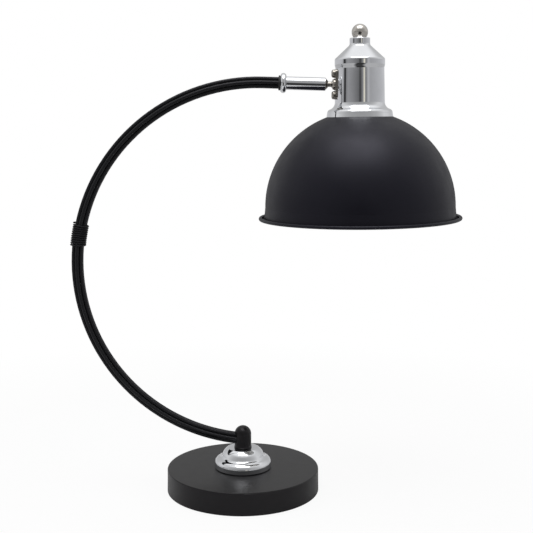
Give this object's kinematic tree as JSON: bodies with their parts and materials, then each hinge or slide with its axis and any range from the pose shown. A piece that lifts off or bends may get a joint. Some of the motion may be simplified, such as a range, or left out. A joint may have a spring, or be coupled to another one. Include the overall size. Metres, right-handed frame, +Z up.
{
  "type": "desk lamp",
  "caption": "Desk lamp with a weighted disc base, a C-shaped arm bundled from rods, and a spun metal dome shade on a small ball joint.",
  "frame": {"origin": "centre of the base's underside, on the desk", "axes": "+Z up, +X from the post to the shade, +Y to the back of the lamp, where the cable bush is"},
  "size_m": [0.3874, 0.2, 0.4667],
  "materials": {
    "black_paint": "satin black powder coat",
    "shade_paint": "satin black outside, white lacquer inside",
    "binding_wire": "black coated binding wire",
    "chrome": "polished chrome plate",
    "nickel_plate": "nickel plated steel",
    "zinc_steel": "bright zinc plated steel",
    "cast_iron": "cast iron, thinly painted",
    "pad": "dark foam rubber",
    "black_rubber": "black moulded rubber",
    "black_plastic": "black moulded phenolic",
    "white_plastic": "natural nylon",
    "ceramic": "glazed porcelain",
    "brass": "bare brass",
    "lead_insulation": "clear sheathed lead"
  },
  "bodies": {
    "stand": {"base_pad": "pad", "base_cover": "black_paint", "base_weight": "cast_iron", "cable_bush": "black_rubber", "terminal_block": "white_plastic", "base_cup": "chrome", "post": "black_paint", "lock_washer": "zinc_steel", "base_nut": "zinc_steel", "arm_rod_1": "black_paint", "arm_rod_2": "black_paint", "arm_rod_3": "black_paint", "arm_rod_4": "black_paint", "arm_rod_5": "black_paint", "arm_rod_6": "black_paint", "arm_centre_tube": "black_paint", "arm_lead": "lead_insulation", "arm_binding": "binding_wire", "arm_end_washer": "black_rubber", "sleeve_bead": "chrome", "arm_sleeve": "chrome", "friction_washer": "white_plastic"},
    "swivel": {"swivel_stud": "nickel_plate", "pivot_ball": "nickel_plate"},
    "seat": {"ball_liner": "white_plastic"},
    "head": {"socket_plate": "nickel_plate", "clamp_screws": "nickel_plate", "backing_saddle": "zinc_steel", "head_cup": "chrome", "cup_cap": "chrome", "clamp_stud": "zinc_steel", "stud_nut": "zinc_steel", "finial_ball": "chrome", "holder_cap": "black_plastic", "holder_skirt": "black_plastic", "holder_core": "ceramic", "screw_shell": "brass", "centre_contact": "brass", "head_lead": "lead_insulation", "shade_ring": "black_plastic", "shade": "shade_paint"}
  },
  "joints": [
    {"name": "head_twist", "type": "hinge", "parent": "stand", "child": "swivel", "pos_m": [0.09109, 0, 0.40906], "axis": [0.9996, 0, -0.0279], "range_deg": [-60, 60]},
    {"name": "head_swing", "type": "hinge", "parent": "swivel", "child": "seat", "pos_m": [0.09109, 0, 0.40906], "axis": [0, 0, 1], "range_deg": [-15, 15]},
    {"name": "head_tilt", "type": "hinge", "parent": "seat", "child": "head", "pos_m": [0.09109, 0, 0.40906], "axis": [0, 1, 0], "range_deg": [-20, 20]}
  ]
}
